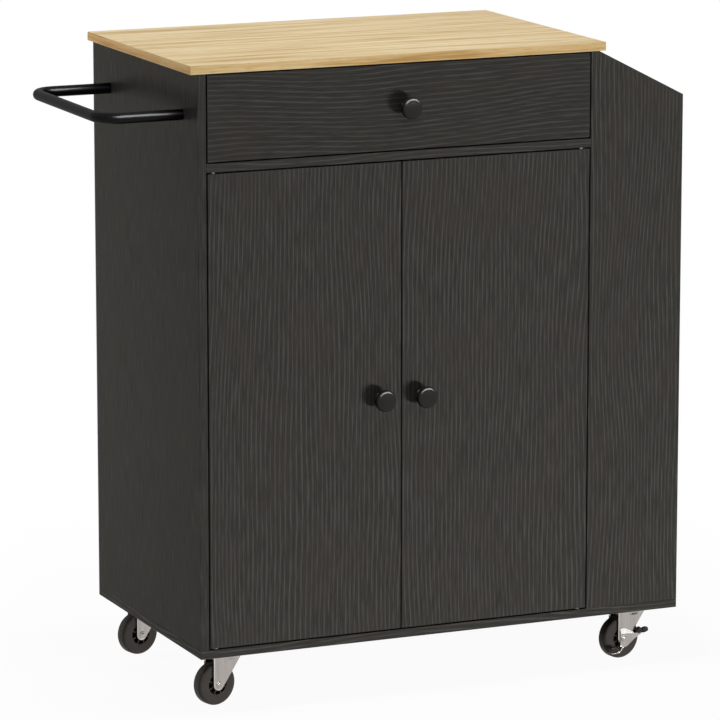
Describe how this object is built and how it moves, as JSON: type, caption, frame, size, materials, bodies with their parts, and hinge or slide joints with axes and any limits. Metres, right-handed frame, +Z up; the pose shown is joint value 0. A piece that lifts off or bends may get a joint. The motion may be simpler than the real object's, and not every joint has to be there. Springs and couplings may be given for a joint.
{
  "type": "rolling kitchen island",
  "caption": "Rolling kitchen island cabinet on swivel casters, with a worktop, a drawer over hinged doors, a towel bar on one side and an open tiered rack on the other.",
  "frame": {"origin": "on the floor, under the middle of the overall length and depth", "axes": "+X to the right as seen from the front (rack side), +Y to the back, +Z up"},
  "size_m": [0.845, 0.4188, 0.892],
  "materials": {
    "oak_laminate": "light oak laminate, satin",
    "black_laminate": "black ash-grain laminate, satin, lightly embossed",
    "hardboard": "painted hardboard, matt",
    "beech": "fluted beech, raw",
    "black_enamel": "gloss powder coat",
    "black_knob": "satin powder coat",
    "zinc_steel": "bright zinc plate, pressed",
    "zinc_casting": "die-cast zinc",
    "wheel_plastic": "moulded polypropylene, satin",
    "nylon": "moulded nylon",
    "catch_plastic": "moulded"
  },
  "bodies": {
    "cabinet": {"worktop": "oak_laminate", "left_side_panel": "black_laminate", "right_side_panel": "black_laminate", "base_board": "black_laminate", "divider_board": "black_laminate", "back_panel": "hardboard", "rack_front_panel": "black_laminate", "rack_back_panel": "black_laminate", "rack_lower_shelf": "black_laminate", "rack_upper_shelf": "black_laminate", "adjustable_shelf": "black_laminate", "shelf_pins": "zinc_steel", "rack_guard_rails": "black_enamel", "towel_bar": "black_enamel", "towel_bar_screws": "zinc_steel", "hinge_bushes": "nylon", "magnetic_catch": "catch_plastic", "cam_locks": "zinc_casting", "cam_bolts": "zinc_steel", "wood_dowels": "beech", "base_screws": "zinc_steel", "back_panel_nails": "zinc_steel", "cabinet_runners": "zinc_steel", "cabinet_runner_screws": "zinc_steel", "caster_plates": "zinc_steel", "caster_kingpins": "zinc_steel", "caster_screws": "zinc_steel"},
    "left_door": {"left_door": "black_laminate", "left_door_knob": "black_knob", "left_door_knob_screw": "zinc_steel", "left_door_pins": "zinc_steel", "left_strike_plate": "zinc_steel"},
    "right_door": {"right_door": "black_laminate", "right_door_knob": "black_knob", "right_door_knob_screw": "zinc_steel", "right_door_pins": "zinc_steel", "right_strike_plate": "zinc_steel"},
    "drawer": {"drawer_front": "black_laminate", "drawer_left_side": "black_laminate", "drawer_right_side": "black_laminate", "drawer_back": "black_laminate", "drawer_bottom": "hardboard", "drawer_knob": "black_knob", "drawer_knob_screw": "zinc_steel", "drawer_runners": "zinc_steel"},
    "ball_cages": {"ball_cages": "zinc_steel"},
    "front_left_swivel": {"front_left_fork": "zinc_steel", "front_left_axle": "zinc_steel"},
    "front_left_roller": {"front_left_wheel": "wheel_plastic"},
    "front_right_swivel": {"front_right_fork": "zinc_steel", "front_right_axle": "zinc_steel"},
    "front_right_roller": {"front_right_wheel": "wheel_plastic"},
    "front_right_brake": {"front_right_brake_lever": "zinc_steel"},
    "back_left_swivel": {"back_left_fork": "zinc_steel", "back_left_axle": "zinc_steel"},
    "back_left_roller": {"back_left_wheel": "wheel_plastic"},
    "back_right_swivel": {"back_right_fork": "zinc_steel", "back_right_axle": "zinc_steel"},
    "back_right_roller": {"back_right_wheel": "wheel_plastic"},
    "back_right_brake": {"back_right_brake_lever": "zinc_steel"}
  },
  "joints": [
    {"name": "left_door_hinge", "type": "hinge", "parent": "cabinet", "child": "left_door", "pos_m": [-0.27745, -0.18, 0.41975], "axis": [0, 0, -1], "range_deg": [0, 110]},
    {"name": "right_door_hinge", "type": "hinge", "parent": "cabinet", "child": "right_door", "pos_m": [0.26855, -0.18, 0.41975], "axis": [0, 0, 1], "range_deg": [0, 110]},
    {"name": "drawer_slide", "type": "slide", "parent": "cabinet", "child": "drawer", "axis": [0, -1, 0], "range_m": [0, 0.25]},
    {"name": "ball_cage_slide", "type": "slide", "parent": "cabinet", "child": "ball_cages", "axis": [0, -1, 0], "range_m": [0, 0.125]},
    {"name": "front_left_swivel_turn", "type": "hinge", "parent": "cabinet", "child": "front_left_swivel", "pos_m": [-0.24145, -0.1265, 0.072], "axis": [0, 0, 1], "continuous": true},
    {"name": "front_left_wheel_spin", "type": "hinge", "parent": "front_left_swivel", "child": "front_left_roller", "pos_m": [-0.26094, -0.131, 0.03], "axis": [-0.225, 0.9744, 0], "continuous": true},
    {"name": "front_right_swivel_turn", "type": "hinge", "parent": "cabinet", "child": "front_right_swivel", "pos_m": [0.37955, -0.1265, 0.072], "axis": [0, 0, 1], "continuous": true},
    {"name": "front_right_wheel_spin", "type": "hinge", "parent": "front_right_swivel", "child": "front_right_roller", "pos_m": [0.3598, -0.12963, 0.03], "axis": [-0.1564, 0.9877, 0], "continuous": true},
    {"name": "front_right_brake_press", "type": "hinge", "parent": "front_right_swivel", "child": "front_right_brake", "pos_m": [0.3598, -0.12963, 0.03], "axis": [-0.1564, 0.9877, 0], "range_deg": [0, 20]},
    {"name": "back_left_swivel_turn", "type": "hinge", "parent": "cabinet", "child": "back_left_swivel", "pos_m": [-0.24145, 0.1685, 0.072], "axis": [0, 0, 1], "continuous": true},
    {"name": "back_left_wheel_spin", "type": "hinge", "parent": "back_left_swivel", "child": "back_left_roller", "pos_m": [-0.26086, 0.16366, 0.03], "axis": [-0.2419, 0.9703, 0], "continuous": true},
    {"name": "back_right_swivel_turn", "type": "hinge", "parent": "cabinet", "child": "back_right_swivel", "pos_m": [0.37955, 0.1685, 0.072], "axis": [0, 0, 1], "continuous": true},
    {"name": "back_right_wheel_spin", "type": "hinge", "parent": "back_right_swivel", "child": "back_right_roller", "pos_m": [0.35992, 0.16468, 0.03], "axis": [-0.1908, 0.9816, 0], "continuous": true},
    {"name": "back_right_brake_press", "type": "hinge", "parent": "back_right_swivel", "child": "back_right_brake", "pos_m": [0.35992, 0.16468, 0.03], "axis": [-0.1908, 0.9816, 0], "range_deg": [0, 20]}
  ],
  "couplings": [
    {"joint": "ball_cage_slide", "follows": "drawer_slide", "ratio": 0.5}
  ]
}
